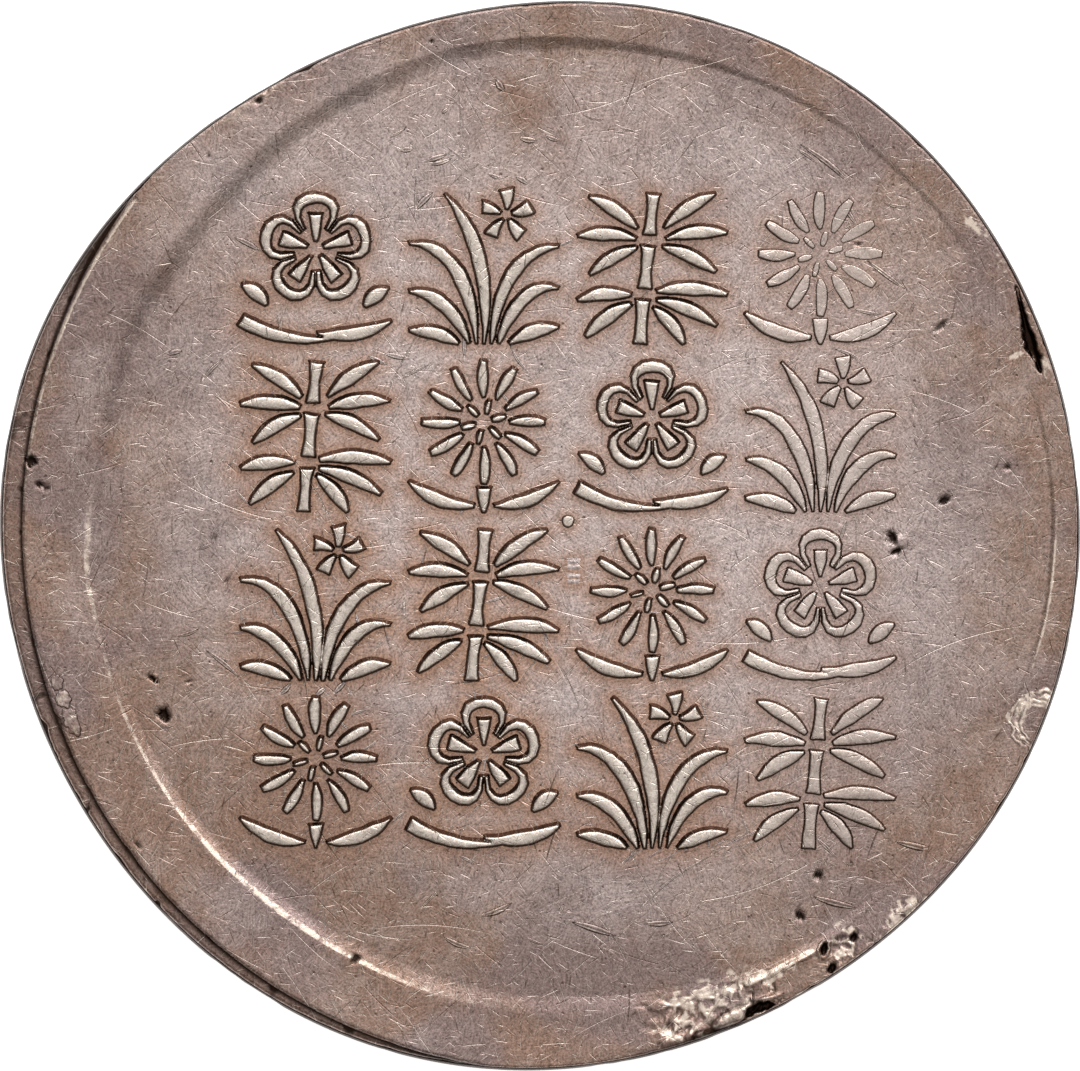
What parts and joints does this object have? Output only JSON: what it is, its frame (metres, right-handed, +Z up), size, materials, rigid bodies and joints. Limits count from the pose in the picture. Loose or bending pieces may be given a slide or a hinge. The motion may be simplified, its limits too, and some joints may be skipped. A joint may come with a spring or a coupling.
{
  "type": "silver cake ingot",
  "caption": "Round struck silver cake used as money: thin hand-cut disc with an off-centre raised rim and a square block of small plant motifs in relief.",
  "frame": {"origin": "centre of the bounding box at the bottom, where the back rim rests on a table", "axes": "+Z up out of the struck face, +Y towards the top of the motif block, +X to its right"},
  "size_m": [0.0402, 0.0399, 0.0033],
  "materials": {
    "toned_silver": "satin",
    "rim_silver": "satin",
    "ledge_silver": "satin",
    "relief_silver": "satin"
  },
  "bodies": {
    "root": {"flan": "toned_silver", "obverse_rim": "rim_silver", "edge_ledge": "ledge_silver", "reverse_rim": "rim_silver", "compass_mark": "relief_silver", "layout_ticks": "relief_silver", "plum_1_1": "relief_silver", "orchid_1_2": "relief_silver", "bamboo_1_3": "relief_silver", "chrysanthemum_1_4": "relief_silver", "bamboo_2_1": "relief_silver", "chrysanthemum_2_2": "relief_silver", "plum_2_3": "relief_silver", "orchid_2_4": "relief_silver", "orchid_3_1": "relief_silver", "bamboo_3_2": "relief_silver", "chrysanthemum_3_3": "relief_silver", "plum_3_4": "relief_silver", "chrysanthemum_4_1": "relief_silver", "plum_4_2": "relief_silver", "orchid_4_3": "relief_silver", "bamboo_4_4": "relief_silver"}
  },
  "joints": []
}
